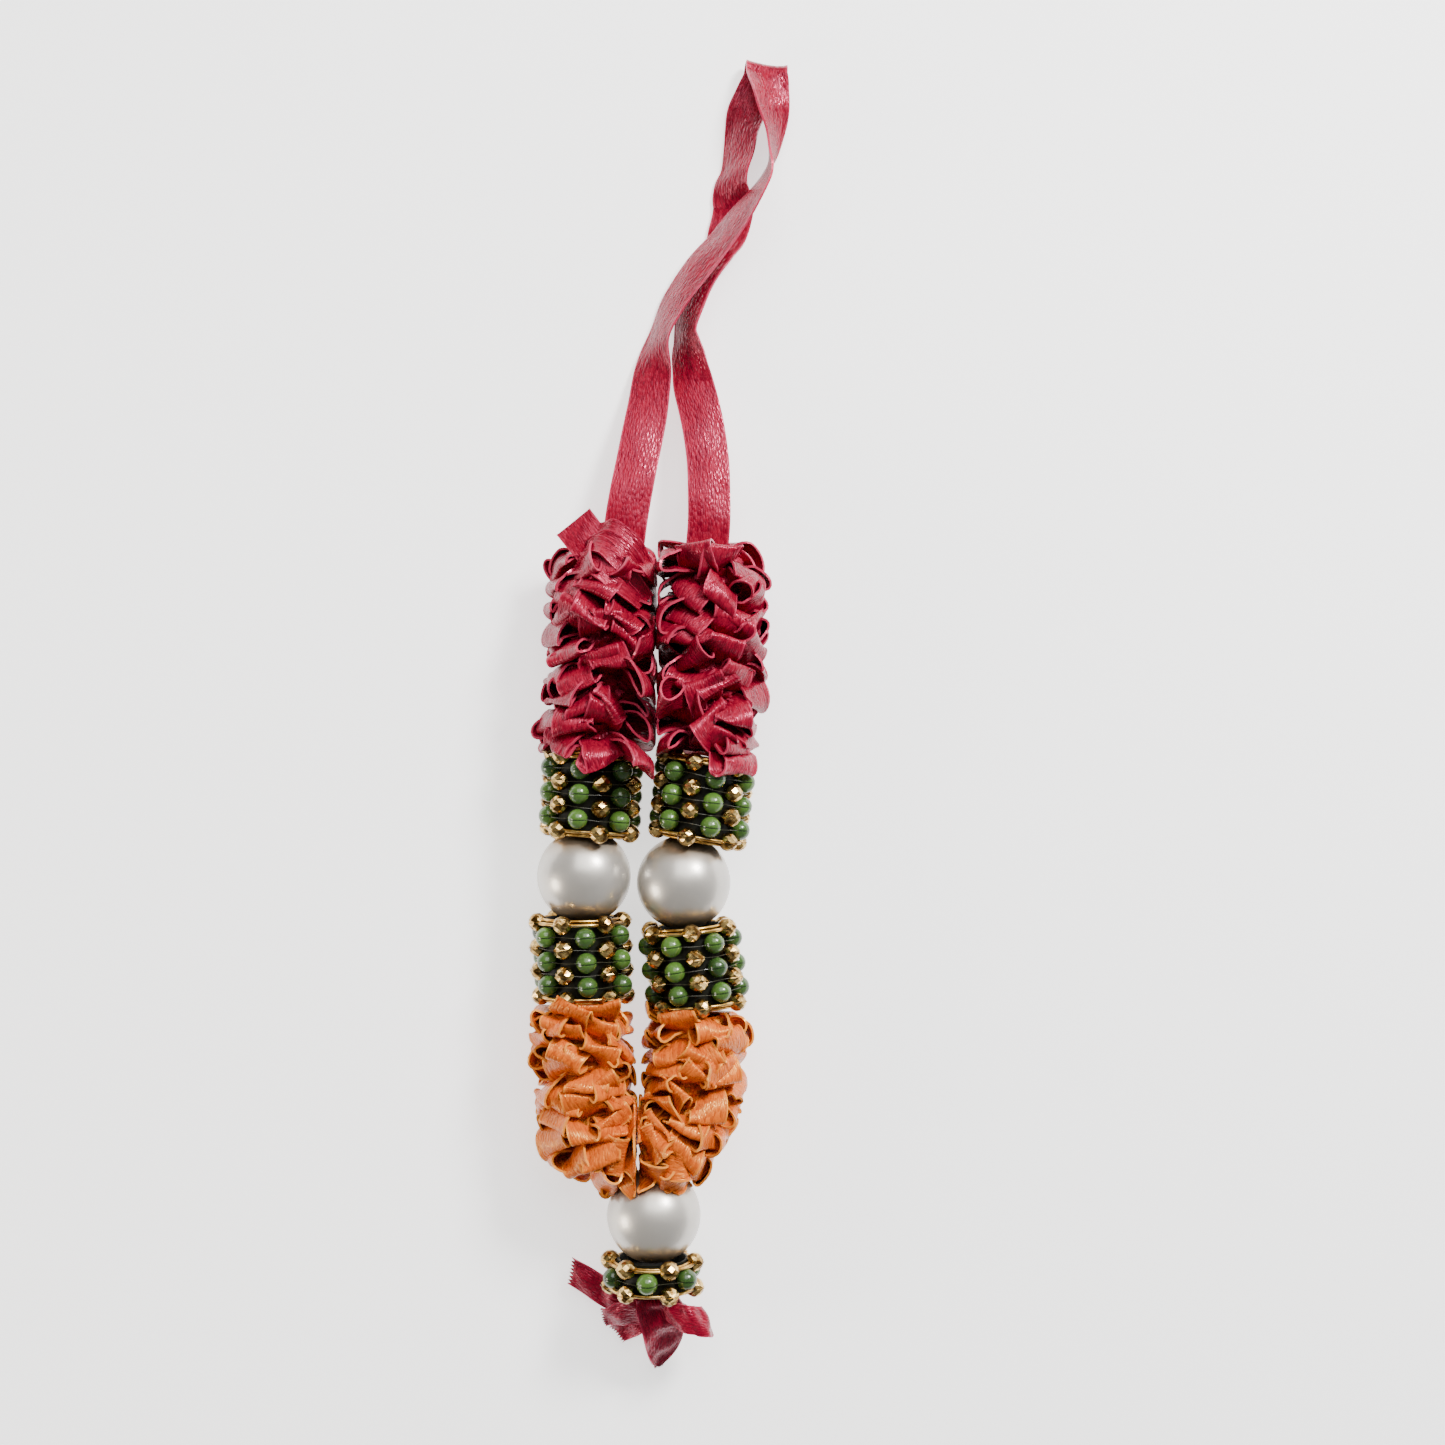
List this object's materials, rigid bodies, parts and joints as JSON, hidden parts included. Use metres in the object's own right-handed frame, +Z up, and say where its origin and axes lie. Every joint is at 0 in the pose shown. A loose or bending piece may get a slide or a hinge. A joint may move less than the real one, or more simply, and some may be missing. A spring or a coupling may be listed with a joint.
{
  "type": "pearl garland",
  "caption": "Small satin ribbon garland with gathered ruffles, sleeves of beads, round pearls, a hanging loop and a ribbon tuft, lying flat.",
  "frame": {"origin": "middle of the garland's outline, on the table it lies on", "axes": "+Y along the garland towards its hanging loop, +X to the right seen from above, +Z up from the table"},
  "size_m": [0.0391, 0.1984, 0.016],
  "materials": {
    "red_satin": "crimson polyester satin ribbon",
    "orange_satin": "orange polyester satin ribbon",
    "beads": "moulded green beads and gold-plated faceted beads",
    "pearl": "cream pearl coating, polished"
  },
  "bodies": {
    "root": {"hanging_ribbon": "red_satin", "ruffle_red_left": "red_satin", "ruffle_red_right": "red_satin", "bead_tube_upper_left": "beads", "bead_tube_upper_right": "beads", "pearl_left": "pearl", "pearl_right": "pearl", "bead_tube_lower_left": "beads", "bead_tube_lower_right": "beads", "ruffle_orange_left": "orange_satin", "ruffle_orange_right": "orange_satin", "pearl_bottom": "pearl", "bead_tube_bottom": "beads", "ribbon_tuft": "red_satin"}
  },
  "joints": []
}
